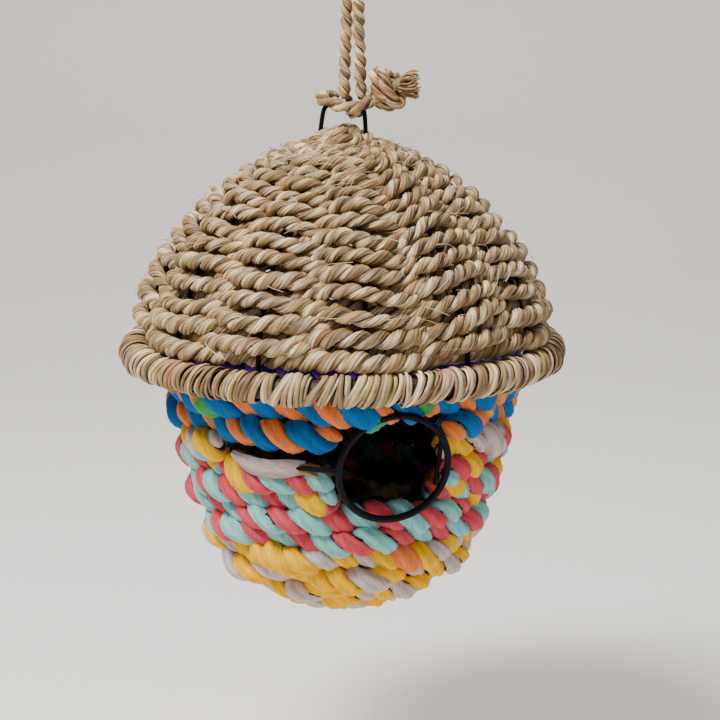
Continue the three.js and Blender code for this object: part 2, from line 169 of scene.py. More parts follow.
class Shape:
    """Rings of points joined into tubes, with a tint for each point and a map of millimetres."""

    def __init__(self):
        self.points, self.faces, self.tints, self.maps = [], [], [], []
        self.count = 0

    def tube(self, rings, tints, closed):
        n, m = rings.shape[:2]
        index = np.arange(n * m).reshape(n, m) + self.count
        rows = n if closed else n - 1
        i = np.arange(rows)
        nxt = (i + 1) % n
        j = np.arange(m)
        jn = (j + 1) % m
        a = index[i][:, j]
        b = index[i][:, jn]
        c = index[nxt][:, jn]
        d = index[nxt][:, j]
        self.faces.append(np.stack([a, b, c, d], -1).reshape(-1, 4))
        centre = rings.mean(1)
        along, total = lengths(centre, closed)
        along = np.append(along, total) if closed else along
        girth = np.linalg.norm(rings - centre[:, None], axis=2).mean() * TURN / m
        u0, u1 = j * girth, (j + 1) * girth
        v0, v1 = along[i][:, None], along[i + 1][:, None]
        zero = np.zeros((rows, m))
        quad = np.stack([np.stack([zero + u0, zero + v0], -1), np.stack([zero + u1, zero + v0], -1),
                         np.stack([zero + u1, zero + v1], -1), np.stack([zero + u0, zero + v1], -1)], 2)
        self.maps.append(quad.reshape(-1, 2))
        self.points.append(rings.reshape(-1, 3))
        self.tints.append(np.broadcast_to(tints, (n, m, 3)).reshape(-1, 3))
        self.count += n * m
        if not closed:
            self.cap(index[0][::-1], rings[0].mean(0), tints, 0)
            self.cap(index[-1], rings[-1].mean(0), tints, -1)

    def cap(self, ring, centre, tints, end):
        m = len(ring)
        tip = self.count
        self.points.append(centre[None])
        tint = np.broadcast_to(tints, (len(np.atleast_3d(tints)), m, 3))[end].mean(0)
        self.tints.append(tint[None])
        self.count += 1
        nxt = np.roll(ring, -1)
        self.faces.append(np.stack([ring, nxt, np.full(m, tip), np.full(m, tip)], -1))
        self.maps.append(np.zeros((m * 4, 2)))

    def build(self, name, material, place=house_to_world):
        points = place(np.vstack(self.points))
        faces = np.vstack(self.faces)
        uv = np.vstack(self.maps).reshape(-1, 4, 2)
        three = faces[:, 2] == faces[:, 3]
        sides = np.where(three, 3, 4)
        keep = np.ones((len(faces), 4), bool)
        keep[three, 3] = False
        loops = faces[keep]
        mesh = bpy.data.meshes.new(name)
        mesh.vertices.add(len(points))
        mesh.vertices.foreach_set("co", points.astype(np.float32).ravel())
        mesh.loops.add(len(loops))
        mesh.loops.foreach_set("vertex_index", loops.astype(np.int32))
        mesh.polygons.add(len(faces))
        starts = np.concatenate([[0], np.cumsum(sides)[:-1]])
        mesh.polygons.foreach_set("loop_start", starts.astype(np.int32))
        mesh.polygons.foreach_set("use_smooth", np.ones(len(faces), bool))
        layer = mesh.uv_layers.new(name="map")
        layer.data.foreach_set("uv", (uv[keep] * 0.01).astype(np.float32).ravel())
        tint = mesh.color_attributes.new("tint", "FLOAT_COLOR", "POINT")
        rgba = np.ones((len(points), 4), np.float32)
        rgba[:, :3] = np.clip(np.vstack(self.tints), 0, 1)
        tint.data.foreach_set("color", rgba.ravel())
        mesh.update(calc_edges=True)
        mesh.validate()
        mesh.materials.append(material)
        piece = bpy.data.objects.new(name, mesh)
        bpy.context.collection.objects.link(piece)
        return piece


def rings_along(points, normals, closed, outline, width=1.0, depth=1.0):
    """Rings of an outline (n points by m angles) about a line: depth along the normal, width across it."""
    t = tangents(points, closed)
    n1 = square_to(normals, t)
    b1 = np.cross(t, n1)
    m = outline.shape[1]
    phi = np.arange(m) / m * TURN
    out = (points[:, None] + (outline * np.cos(phi) * depth)[..., None] * n1[:, None]
           + (outline * np.sin(phi) * width)[..., None] * b1[:, None])
    return out


def plain_tube(shape, points, radius, sides, tint, closed=False, first=(0, 0, 1)):
    """A round tube of one radius, or of one radius a point."""
    if closed:
        normals = np.broadcast_to(np.array(first, float), points.shape)
    else:
        t = tangents(points, False)[0]
        start = np.cross(t, (0.31, 0.72, 0.62))
        normals = carried_normals(points, start / np.linalg.norm(start))
    outline = np.broadcast_to(np.reshape(radius, (-1, 1)), (len(points), sides))
    shape.tube(rings_along(points, normals, closed, outline), np.array(tint), closed)


# ---- Rope: plies of fibre twisted round each other -------------------------------------------------

PAINTED_SHADE_CORE_SHARE = 0.62            # radius of the dark core between the plies, painted shade that fills the gaps between them, as a share of the rope's


def rope(shape, rng, points, normals, radius, pitch, lay, closed, colours, *, count=2, sides=16, lobes=5,
         lobe_depth=0.09, own_twist=0.06, squeeze=1.0, lump=0.07, swell=None, sharp=0.5, core=None):
    """Plies round a line: lay is 1 for right-handed and -1 for left-handed, and colours tints each ply."""
    along, total = lengths(points, closed)
    t = along / total
    turns = total / pitch
    if closed:
        turns = max(1, round(turns))
    line = tangents(points, closed)
    n = square_to(normals, line)
    b = np.cross(line, n)
    start = rng.random() * TURN
    radius = np.broadcast_to(np.asarray(radius, float), t.shape)
    uneven = wobble(rng, t, (3, 7, 11, 17), 0.12)
    ends = np.ones(len(t))
    if not closed:
        inward = np.minimum(along, total - along) / radius
        ends = np.sqrt(np.clip(1 - (1 - np.clip(inward, 0.05, 1)) ** 2, 0, 1))
    phi = np.arange(sides) / sides * TURN
    for ply in range(count):
        angle = lay * TURN * turns * t + start + uneven + ply * TURN / count
        out = np.cos(angle)[:, None] * n + np.sin(angle)[:, None] * b
        thick = radius * (1 + wobble(rng, t, (5, 9, 14, 23, 37), lump)) * ends
        if swell is not None:
            thick = thick * swell(ply, t)
        reach = radius * 0.44
        flat = 1 + (squeeze - 1) * np.cos(angle) ** 2
        centre = points + (reach * flat)[:, None] * out
        fat = thick * 0.585
        skew = own_twist * along
        if closed:
            skew = TURN * round(own_twist * total * lobes / TURN) / lobes * t
        ridge = np.abs(np.cos(0.5 * lobes * (phi[None] + skew[:, None]))) ** sharp
        outline = fat[:, None] * (1 - lobe_depth + lobe_depth * ridge * 1.6)
        rings = rings_along(centre, out, closed, outline, width=1.0, depth=1.0)
        tints = colours(ply, t, along, phi, ridge, skew)
        shape.tube(rings, tints, closed)
    # The core is a dark tube along the line between the plies: painted shade where the plies part.
    if core is not None:
        painted_shade_outline = np.broadcast_to((radius * PAINTED_SHADE_CORE_SHARE * ends)[:, None], (len(t), 8))
        shape.tube(rings_along(points, n, closed, painted_shade_outline), np.array(core), closed)


STRAW = np.array((0.40, 0.255, 0.11))
PALE = np.array((0.95, 0.76, 0.48))
BROWN = np.array((0.11, 0.05, 0.018))
PINK = np.array((0.40, 0.15, 0.07))
GREEN = np.array((0.30, 0.26, 0.05))
# Colour of the dark cores between plies and under the rim wraps: painted shade.
PAINTED_SHADE_BROWN = BROWN * 0.35


def seagrass_tints(rng, lobes, base=STRAW, depth=0.7):
    """Tints of one rope: blades that differ, with painted shade in the grooves and towards the rope's middle.
    """
    rolls = rng.random((6, 64))

    def tints(ply, t, along, phi, ridge, skew):
        blade = np.floor((lobes * (phi[None] + skew[:, None]) / TURN) % lobes).astype(int)
        key = (blade * 7 + ply * 31) % 64
        slow = along[:, None] / 17.0
        patch = (1 + 0.16 * np.sin(TURN * along / 23 + 9 * rolls[0][ply])
                 + 0.14 * np.sin(TURN * along / 9.7 + 5 * rolls[1][ply]))
        light = np.sin(TURN * (slow * (0.7 + rolls[1][key]) + rolls[0][key]))
        pink = np.clip(np.sin(TURN * (slow * (0.4 + rolls[3][key]) + rolls[2][key])) - 0.55, 0, 1) * 1.5
        green = np.clip(np.sin(TURN * (slow * (0.4 + rolls[5][key]) + rolls[4][key])) - 0.6, 0, 1) * 1.5
        light = light[..., None]
        colour = base + np.clip(light, 0, 1) * (PALE - base) * 0.8
        colour = colour + np.clip(-light, 0, 1) * (BROWN - base) * 0.5
        colour = colour + pink[..., None] * (PINK - colour) * 0.8
        colour = colour + green[..., None] * (GREEN - colour) * 0.7
        # Painted shade: each ply darker on its side toward the rope's middle and in the grooves between its
        # blades.
        inward = np.clip(0.72 + 0.62 * np.cos(phi), 0, 1)[None, :, None]
        shade = (1 - depth * (1 - inward)) * (0.14 + 0.90 * ridge[..., None])
        return colour * shade * patch[:, None, None]

    return tints


def cotton_tints(plies, accents=(), start=0.0, span=360.0, depth=0.72):
    """Tints of a cotton cord: a colour a ply, with accents of another colour over some degrees of it, and
    painted shade in the grooves and on each ply's side toward the cord's middle.
    """

    def tints(ply, t, along, phi, ridge, skew):
        colour = np.broadcast_to(np.asarray(plies[ply]), (len(t), 3)).copy()
        for accent_ply, degrees, width, accent in accents:
            if accent_ply == ply:
                away = np.abs((start + span * t - degrees + 180) % 360 - 180)
                colour[away < width / 2] = accent
        # Painted shade: each ply darker on its side toward the cord's middle and in its grooves.
        inward = np.clip(0.75 + 0.62 * np.cos(phi), 0, 1)[None, :, None]
        return colour[:, None] * (1 - depth * (1 - inward)) * (0.66 + 0.34 * ridge[..., None])

    return tints


def accent_swell(accents, start, span, amount, base=(1.0, 1.0)):
    """How much thicker each ply is: its own share, and more at its accents."""

    def swell(ply, t):
        size = np.full(len(t), base[ply])
        for accent_ply, degrees, width, _ in accents:
            if accent_ply == ply:
                away = ((start + span * t - degrees + 180) % 360 - 180) / (width / 2)
                size = size * (1 + amount * np.exp(-away ** 2))
        return size

    return swell


# ---- Materials -------------------------------------------------------------------------------------


def shader(name, roughness, specular=0.5, sheen=0.0, metallic=0.0):
    material = bpy.data.materials.new(name)
    material.use_nodes = True
    nodes, links = material.node_tree.nodes, material.node_tree.links
    bsdf = nodes["Principled BSDF"]
    bsdf.inputs["Roughness"].default_value = roughness
    bsdf.inputs["Specular IOR Level"].default_value = specular
    bsdf.inputs["Sheen Weight"].default_value = sheen
    bsdf.inputs["Metallic"].default_value = metallic
    return material, nodes, links, bsdf


def stretched_noise(nodes, links, scale, detail=3.0):
    """Noise on the map of millimetres, at that many spots a millimetre across and along."""
    uv = nodes.new("ShaderNodeUVMap")
    uv.uv_map = "map"
    mapping = nodes.new("ShaderNodeMapping")
    mapping.inputs["Scale"].default_value = (scale[0] * 100, scale[1] * 100, 1)
    noise = nodes.new("ShaderNodeTexNoise")
    noise.inputs["Scale"].default_value = 1.0
    noise.inputs["Detail"].default_value = detail
    noise.inputs["Roughness"].default_value = 0.6
    links.new(uv.outputs["UV"], mapping.inputs["Vector"])
    links.new(mapping.outputs["Vector"], noise.inputs["Vector"])
    return noise


def tinted(nodes, links, bsdf, noise, dark, light):
    """The tint times a shade that follows the noise."""
    tint = nodes.new("ShaderNodeVertexColor")
    tint.layer_name = "tint"
    ramp = nodes.new("ShaderNodeMapRange")
    ramp.inputs["From Min"].default_value = 0.3
    ramp.inputs["From Max"].default_value = 0.7
    ramp.inputs["To Min"].default_value = dark
    ramp.inputs["To Max"].default_value = light
    mix = nodes.new("ShaderNodeVectorMath")
    mix.operation = "SCALE"
    links.new(noise.outputs["Fac"], ramp.inputs["Value"])
    links.new(tint.outputs["Color"], mix.inputs[0])
    links.new(ramp.outputs["Result"], mix.inputs["Scale"])
    links.new(mix.outputs["Vector"], bsdf.inputs["Base Color"])
    return ramp


def bumped(nodes, links, bsdf, noise, strength, distance_mm):
    bump = nodes.new("ShaderNodeBump")
    bump.inputs["Strength"].default_value = strength
    bump.inputs["Distance"].default_value = distance_mm * MM
    links.new(noise.outputs["Fac"], bump.inputs["Height"])
    links.new(bump.outputs["Normal"], bsdf.inputs["Normal"])


def seagrass_material(name, across=1.15, along=0.07):
    material, nodes, links, bsdf = shader(name, 0.55, 0.45)
    noise = stretched_noise(nodes, links, (across, along))
    tinted(nodes, links, bsdf, noise, 0.26, 1.50)
    bumped(nodes, links, bsdf, noise, 0.9, 0.6)
    return material


def cotton_material(name):
    material, nodes, links, bsdf = shader(name, 0.85, 0.15, sheen=0.06)
    bsdf.inputs["Sheen Roughness"].default_value = 0.45
    noise = stretched_noise(nodes, links, (1.3, 0.3), detail=4.0)
    tinted(nodes, links, bsdf, noise, 0.70, 1.16)
    bumped(nodes, links, bsdf, noise, 0.8, 0.5)
    return material


def wire_material(name):
    material, nodes, links, bsdf = shader(name, 0.42, 0.08)
    noise = nodes.new("ShaderNodeTexNoise")
    noise.inputs["Scale"].default_value = 900.0
    noise.inputs["Detail"].default_value = 2.0
    coordinates = nodes.new("ShaderNodeTexCoord")
    links.new(coordinates.outputs["Object"], noise.inputs["Vector"])
    tinted(nodes, links, bsdf, noise, 0.7, 1.35)
    bumped(nodes, links, bsdf, noise, 0.3, 0.12)
    return material


seagrass = seagrass_material("seagrass")
binding = seagrass_material("seagrass_blades", across=1.0, along=0.10)
rope_fibre = seagrass_material("hanging_rope_fibre")
cotton = cotton_material("cotton_jersey")
black = wire_material("black_wire")
BLACK = (0.004, 0.004, 0.007)

# ---- Camera ----------------------------------------------------------------------------------------

VIEW_AZIMUTH = math.radians(-17.0)
VIEW_ELEVATION = math.radians(11.5)
VIEW_DISTANCE = 0.818
VIEW_SHIFT_RIGHT, VIEW_SHIFT_UP = 0.0070, -0.0053


def make_camera():
    towards = Vector((math.sin(VIEW_AZIMUTH) * math.cos(VIEW_ELEVATION),
                      -math.cos(VIEW_AZIMUTH) * math.cos(VIEW_ELEVATION), math.sin(VIEW_ELEVATION)))
    data = bpy.data.cameras.new("camera")
    data.lens = 100.0
    data.sensor_width = 36.0
    camera = bpy.data.objects.new("camera", data)
    bpy.context.collection.objects.link(camera)
    turn = towards.to_track_quat("Z", "Y")
    right, up = turn @ Vector((1, 0, 0)), turn @ Vector((0, 1, 0))
    aim = Vector(AXIS) + right * VIEW_SHIFT_RIGHT + up * VIEW_SHIFT_UP
    camera.location = aim + towards * VIEW_DISTANCE
    camera.rotation_mode = "QUATERNION"
    camera.rotation_quaternion = turn
    bpy.context.scene.camera = camera


make_camera()

# ---- Hanging rope: its own frame, x along the bail's bar, -y towards the entrance side --------------

ROPE_ROUTE = [
    (-3.7, -77.3), (-3.4, -68), (-2.9, -57), (-2.6, -46), (-2.5, -37), (-3.1, -30), (-5.6, -22.5),
    (-9.0, -15), (-10.8, -8), (-9.6, -2.2), (-5.6, 1.4), (0, 2.4), (5.6, 1.4), (9.6, -2.2), (10.8, -8),
    (9.0, -15), (5.6, -22.5), (3.1, -30), (2.5, -37), (2.6, -46), (2.9, -57), (3.4, -68), (3.7, -77.3),
]
LEG_REACH = 1.8              # the rope's legs run this much further down, behind the hitch
BRIDGE_ROUTE = [
    (-8, 4.3, 2.4), (-11.4, 3.4, 3.0), (-13.6, 0, 3.2), (-11.2, -4.0, 2.2), (-6, -5.0, 0.7), (0, -5.2, -0.6),
    (6.2, -4.8, 0.5), (11.0, -3.6, 3.2),
]
SADDLE_ROUTE = [
    (-3.7, 0.6, 5.4), (-3.6, 3.4, 3.4), (-3.4, 4.1, 1.4), (-3.3, 4.0, -0.6), (-2.1, 1.8, -3.4), (0, 0, -4.0),
    (2.1, 1.8, -3.4), (3.3, 4.0, -0.6), (3.4, 4.1, 1.4), (3.6, 3.4, 3.4), (3.7, 0.6, 5.4),
]
BAR_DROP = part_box("bail")[1][2] / MM - 1.0
BAR_TURN = np.array(((math.cos(BAR_ANGLE), math.sin(BAR_ANGLE), 0),
                     (-math.sin(BAR_ANGLE), math.cos(BAR_ANGLE), 0), (0, 0, 1)))


def rope_to_world(points):
    return (np.asarray(points) @ BAR_TURN) * MM


def hung(piece, *nodes):
    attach(piece, "hanger")
    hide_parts(*nodes)
    return piece


ROPE_COLOUR = np.array((0.50, 0.30, 0.125))


def make_hanging_rope():
    rng = np.random.default_rng(5)
    route = [(x, 0.0, z) for x, z in ROPE_ROUTE]
    for end in (0, -1):
        route[end] = (route[end][0], 0.0, route[end][2] - LEG_REACH)
    line = respaced(catmull(route, 8), 0.55)
    shape = Shape()
    normals = np.broadcast_to((0.0, -1.0, 0.0), line.shape)
    rope(shape, rng, line, normals, HANGING_ROPE, 10.6, -1, False, seagrass_tints(rng, 5, ROPE_COLOUR),
         sides=20, lobe_depth=0.1, own_twist=0.04, lump=0.08, core=PAINTED_SHADE_BROWN)
    piece = shape.build("rope_bight", rope_fibre, rope_to_world)
    hung(piece, "hanging_rope")
    return piece, line


def make_strand(name, node, route, radius, pitch, seed, step=0.5):
    rng = np.random.default_rng(seed)
    line = respaced(catmull([(x, y, BAR_DROP + z) for x, y, z in route], 8), step)
    normals = carried_normals(line, (0.0, 0.0, 1.0))
    shape = Shape()
    rope(shape, rng, line, normals, radius, pitch, -1, False, seagrass_tints(rng, 5, ROPE_COLOUR),
         sides=20, lobe_depth=0.1, own_twist=0.04, lump=0.08, core=PAINTED_SHADE_BROWN)
    return hung(shape.build(name, rope_fibre, rope_to_world), node)


KNOT_CENTRE = np.array((14.4, 0.0, 8.2))


def make_knot():
    rng = np.random.default_rng(11)
    shape = Shape()
    core = np.array((KNOT_CENTRE[0], KNOT_CENTRE[1], BAR_DROP + KNOT_CENTRE[2] - 1.2))
    turns, reach, wide, tall, slant = 2.7, 4.6, 4.9, 6.4, 0.34
    t = np.linspace(0, 1, 70)
    angle = TURN * turns * t + 3.5
    waist = 1 - 0.2 * (2 * t - 1) ** 2
    across = (t - 0.5) * 2 * reach - slant * tall * np.sin(angle)
    line = core + np.stack([across, wide * np.cos(angle) * waist, tall * np.sin(angle) * waist], 1)
    line = respaced(line, 0.6)
    rope(shape, rng, line, line - core, HANGING_ROPE * 1.12, 14.0, -1, False,
         seagrass_tints(rng, 5, ROPE_COLOUR), sides=20, lobe_depth=0.1, own_twist=0.04, core=PAINTED_SHADE_BROWN)
    through = [(-6.0, -3.6, -3.0), (-3.5, -1.5, -1.0), (0, 0.5, 0.5), (5, 0, 1.4), (8.2, 0, 1.6)]
    line = respaced(catmull(core + np.array(through), 8), 0.6)
    rope(shape, rng, line, carried_normals(line, (0, 0, 1)), HANGING_ROPE * 1.3, 12.0, -1, False,
         seagrass_tints(rng, 5, ROPE_COLOUR), sides=20, lobe_depth=0.1, core=PAINTED_SHADE_BROWN)
    return hung(shape.build("knot", rope_fibre, rope_to_world), "rope_knot")


def make_tail():
    """Frayed fibres in a few thick locks that spread to the right."""
    rng = np.random.default_rng(12)
    shape = Shape()
    root = np.array((KNOT_CENTRE[0] + 6.0, 0.0, BAR_DROP + KNOT_CENTRE[2] + 0.2))
    s = np.linspace(0, 1, 9)
    for lock in range(11):
        spread = rng.normal(size=2)
        spread /= max(1.0, np.linalg.norm(spread) / 1.5)
        length = rng.uniform(6.5, 9.5)
        bow = rng.normal(size=2) * 0.8
        tone = rng.uniform(0.55, 1.2)
        for _ in range(9):
            own = rng.normal(size=2) * 0.45
            reach = length * rng.uniform(0.8, 1.08)
            bend = 4 * s * (1 - s)
            y = (spread[0] * 1.6 + own[0]) + (spread[0] * 1.3 + own[0]) * s + bow[0] * bend
            z = (spread[1] * 1.7 + own[1]) + (spread[1] * 1.5 + own[1]) * s + bow[1] * bend + 0.8 * s
            line = root + np.stack([reach * s + rng.uniform(-1, 0.3), y, z], 1)
            thick = rng.uniform(0.3, 0.62) * np.interp(s, (0, 0.75, 1), (1, 0.9, 0.4))
            plain_tube(shape, line, thick, 6, ROPE_COLOUR * tone * rng.uniform(0.75, 1.25))
    return hung(shape.build("frayed_tail", rope_fibre, rope_to_world), "rope_tail")


bight, bight_line = make_hanging_rope()
bridge = make_strand("bridge_strand", "hitch_bridge", BRIDGE_ROUTE, HANGING_ROPE * 1.06, 15.0, 7)
saddle = make_strand("saddle_strand", "hitch_saddle", SADDLE_ROUTE, 1.5, 10.0, 8)
knot = make_knot()
tail = make_tail()

# ---- The ribs' shared outline, from the crown to the base -------------------------------------------


def dome_radius(height):
    return DOME_RADIUS * (1 - (height / DOME_HEIGHT) ** DOME_UP) ** (1 / DOME_ACROSS)


def dome_height(radius):
    return DOME_HEIGHT * (1 - (radius / DOME_RADIUS) ** DOME_ACROSS) ** (1 / DOME_UP)


def rib_outline():
    foot = CROWN_RADIUS + RIB_INSET
    outline = [(foot, dome_height(foot))]
    outline += [(dome_radius(s * DOME_HEIGHT), s * DOME_HEIGHT)
                for s in (0.93, 0.85, 0.76, 0.65, 0.53, 0.40, 0.27, 0.15)]
    eave = DOME_RADIUS - EAVE_INSET
    outline += [(WALL_RADIUS + s * (eave - WALL_RADIUS), h)
                for s, h in ((1, 4.2), (0.52, -2.4), (0.14, -6.0))]
    outline += [(s * WALL_RADIUS, -d * WALL_DEPTH) for s, d in
                ((0.99, 0.16), (0.965, 0.30), (0.925, 0.45), (0.87, 0.60), (0.805, 0.74), (0.75, 0.84),
                 (0.68, 0.92), (0.58, 0.967), (0.44, 0.994))]
    outline.append((BASE_RADIUS + RIB_INSET, -WALL_DEPTH))
    return np.array([(r, 0.0, h) for r, h in outline])


rib_line = respaced(catmull(rib_outline(), 12), 0.25)
rib_along = lengths(rib_line)[0]
rib_slope = tangents(rib_line, False)


def rib_at(along):
    """Radius, height and outward normal at a length along the rib."""
    radius = np.interp(along, rib_along, rib_line[:, 0])
    height = np.interp(along, rib_along, rib_line[:, 2])
    out = -np.interp(along, rib_along, rib_slope[:, 2])
    up = np.interp(along, rib_along, rib_slope[:, 0])
    return radius, height, out, up


def along_where(test):
    return rib_along[np.argmax(test(rib_line[:, 0], rib_line[:, 2]))]


def around(angle, radius, height):
    """Points round the house: angle in radians from the entrance's direction."""
    return np.stack([radius * np.sin(angle), -radius * np.cos(angle), height + 0 * angle], -1)


def outward(angle, out, up):
    return np.stack([out * np.sin(angle), -out * np.cos(angle), up + 0 * angle], -1)


# ---- Wire frame --------------------------------------------------------------------------------------

RIB_ANGLES = [math.radians(RIB_START + i * 360 / RIB_COUNT) for i in range(RIB_COUNT)]


def wire(name, node, lines, radius=RIB_WIRE, sides=10):
    shape = Shape()
    for line, closed in lines:
        plain_tube(shape, line, radius, sides, BLACK, closed)
    piece = shape.build(name, black)
    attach(piece, "house")
    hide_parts(node)
    return piece


def rib_points(angle, top, bottom):
    inside = (rib_line[:, 2] <= top) & (rib_line[:, 2] >= bottom)
    line = rib_line[inside]
    return respaced(around(np.full(len(line), angle), line[:, 0], line[:, 2]), 2.0)


def ring_points(radius, height, steps=120):
    angle = np.linspace(0, TURN, steps, endpoint=False)
    return around(angle, np.full(steps, radius), height)


def make_wires():
    for node in sorted(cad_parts):
        if not node.startswith("rib_") or node == "rim_binding":
            continue
        low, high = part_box(node)
        number = int(node.split("_")[1])
        angle = RIB_ANGLES[number - 1]
        top = (high[2] - AXIS[2]) / MM + 1
        bottom = (low[2] - AXIS[2]) / MM - 1
        wire("wire_" + node, node, [(rib_points(angle, top, bottom), False)])
    wire("wire_crown_ring", "crown_ring", [(ring_points(CROWN_RADIUS, height_of("crown_ring"), 48), True)])
    wire("wire_base_ring", "base_ring", [(ring_points(BASE_RADIUS, height_of("base_ring"), 64), True)])
    wire("wire_eave_ring", "eave_ring", [(ring_points(RIM_RADIUS, 0.0, 160), True)], radius=RIM_WIRE)


make_wires()

# ---- Bail ---------------------------------------------------------------------------------------------


BAIL_SPREAD = 3.15           # the bail's feet meet the dome this far outside the crown ring


def make_bail():
    foot = dome_height(CROWN_RADIUS + BAIL_SPREAD) + 1.0
    bar = (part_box("bail")[1][2] - AXIS[2]) / MM - RIB_WIRE
    c = CROWN_RADIUS
    flat = [(-c, foot - 1), (-c + 0.2, foot + 3), (-c + 0.9, foot + 8.5), (-c + 1.9, bar - 3.4),
            (-c + 2.9, bar - 1.1), (-c + 4.8, bar), (-3, bar), (3, bar), (c - 3.6, bar), (c - 1.7, bar - 0.9),
            (c - 0.8, bar - 3.4), (c - 0.3, foot + 7), (c, foot + 3), (c, foot - 1)]
    line = respaced(catmull([(x, 0.0, z) for x, z in flat], 6), 0.6)
    turned = np.stack([line[:, 0] * math.cos(BAR_ANGLE), line[:, 0] * math.sin(BAR_ANGLE), line[:, 2]], 1)
    wire("wire_bail", "bail", [(turned, False)], radius=0.95, sides=12)


make_bail()

# ---- Entrance -----------------------------------------------------------------------------------------

ENTRANCE_HEIGHT, ENTRANCE_RADIUS, ENTRANCE_FRONT = -34.2, 21.8, 68.0
ENTRANCE_TILT = math.radians(12)
ENTRANCE_WIRE = 1.4
ENTRANCE_CORD = 3.0          # cords whose middle passes the ring's edge by less than this are stopped by it


def entrance_circle(radius, steps=110):
    a = np.linspace(0, TURN, steps, endpoint=False)
    x = radius * np.cos(a)
    rise = radius * np.sin(a)
    return np.stack([x, -ENTRANCE_FRONT - rise * math.sin(ENTRANCE_TILT),
                     ENTRANCE_HEIGHT + rise * math.cos(ENTRANCE_TILT)], 1)


def make_entrance():
    hoop = [(entrance_circle(ENTRANCE_RADIUS), True)]
    wire("wire_entrance_ring", "entrance_ring", hoop, radius=ENTRANCE_WIRE, sides=14)
    low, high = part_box("entrance_arm")
    start = (np.array((high[0], low[1], 0)) - AXIS) / MM
    end = (np.array((low[0], high[1], 0)) - AXIS) / MM
    h = height_of("entrance_arm")
    s = np.linspace(0, 1, 14)[:, None]
    near_ring = np.array((start[0] + 2.5, start[1] + 0.6, h))
    near_rib = np.array((end[0] - 0.8, end[1] - 0.8, h))
    line = near_ring * (1 - s) + near_rib * s
    line = line + np.array((-0.7, -1.3, 0)) * (4 * s * (1 - s))
    thick = 1.0 + 0.9 * np.exp(-((s[:, 0] - 0.04) / 0.07) ** 2)
    shape = Shape()
    plain_tube(shape, line, thick, 10, BLACK)
    piece = shape.build("wire_entrance_arm", black)
    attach(piece, "house")
    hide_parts("entrance_arm")


make_entrance()

# ---- Woven courses ------------------------------------------------------------------------------------


def course(rng, along, reach, phase, angles, drift, shared=0.0):
    """A course's line and normals, in and out of the ribs, or outside them all where the phase is 0."""
    t = (angles - angles[0]) / TURN
    wave = np.cos((angles - math.radians(RIB_START)) * RIB_COUNT / 2)
    at = along + shared + wobble(rng, t, (5, 7, 12, 13), drift)
    radius, height, out, up = rib_at(at)
    offset = phase * reach * wave + wobble(rng, t, (3, 8, 11), 0.25)
    if phase == 0:
        offset = reach + wobble(rng, t, (3, 8, 11), 0.25)
    normals = outward(angles, out, up)
    return around(angles, radius, height) + normals * offset[:, None], normals


def full_angles(radius, step):
    count = int(TURN * radius / step)
    return np.linspace(0, TURN, count, endpoint=False) + math.radians(RIB_START)


ROOF_COURSES = 14
ROOF_REACH = 4.0
ROOF_GRADING = 0.14
ROOF_SWAY = 2.1
WEAVE_LIMIT = 27.0           # courses of a smaller radius lie on the ribs instead of passing behind them
STRAY_COUNT = 260


def roof_along(order):
    """Length along the rib of the roof rope of that order, from 0 at the eave to 27 at the crown."""
    first = along_where(lambda r, h: h <= 12.0)
    last = along_where(lambda r, h: r >= 15.6)
    even = (order - 0.5) / (2 * ROOF_COURSES - 2)
    return first + (last - first) * (even + ROOF_GRADING * even * (1 - even))


def shared_sway(angles, order):
    """How far neighbouring ropes slant down and up together, between the eave and the crown."""
    size = ROOF_SWAY * np.interp(order, (0, 3, 20, 27), (0.15, 1, 1, 0.3))
    return size * (np.sin(3 * angles + 2.1) * 0.5 + np.sin(5 * angles + 1.2) * 0.6
                   + np.sin(8 * angles + 0.4) * 0.5)


def make_roof():
    for i in range(ROOF_COURSES):
        rng = np.random.default_rng(100 + i)
        shape = Shape()
        for order in (2 * i, 2 * i + 1):
            along = roof_along(order)
            radius = float(rib_at(along)[0])
            thick = np.interp(order, (0, 1, 5, 27), (3.7, 3.55, 3.15, 2.85)) * rng.uniform(0.9, 1.1)
            woven = radius > WEAVE_LIMIT
            phase = (-1 if order % 2 else 1) if woven else 0
            angles = full_angles(radius, 1.2)
            drift = 0.5 if order < 2 else 0.8
            reach = ROOF_REACH if woven else thick + 0.6
            line, normals = course(rng, along, reach, phase, angles, drift, shared_sway(angles, order))
            rope(shape, rng, line, normals, thick, rng.uniform(13.0, 16.0), -1, True, seagrass_tints(rng, 8),
                 sides=24, lobes=8, lobe_depth=0.15, own_twist=0.03, lump=0.12, core=PAINTED_SHADE_BROWN)
        piece = shape.build(f"roof_ropes_{i + 1:02d}", seagrass)
        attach(piece, "house")
        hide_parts(f"roof_course_{i + 1:02d}")
    strays = make_strays().build("stray_fibres", seagrass)
    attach(strays, "house")


def make_strays():
    """Thin loose fibres that stand off the roof ropes."""
    rng = np.random.default_rng(77)
    shape = Shape()
    top, bottom = roof_along(26), roof_along(0)
    for _ in range(STRAY_COUNT):
        along = rng.uniform(top, bottom)
        start = rng.uniform(0, TURN)
        reach = rng.uniform(3, 11) / rib_at(along)[0]
        s = np.linspace(0, 1, 7)
        angles = start + reach * s * rng.choice((-1, 1))
        lift = ROOF_REACH + 2.3 + rng.uniform(0.3, 2.0) * np.sin(np.pi * s) + rng.uniform(-0.6, 1.2) * s
        climb = along + rng.normal(0, 3.0) * s + rng.normal(0, 1.2) * s ** 2
        r, h, out, up = rib_at(climb)
        line = around(angles, r, h) + outward(angles, out, up) * lift[:, None]
        plain_tube(shape, line, rng.uniform(0.07, 0.16), 4, PALE * rng.uniform(0.5, 1.0))
    return shape


make_roof()


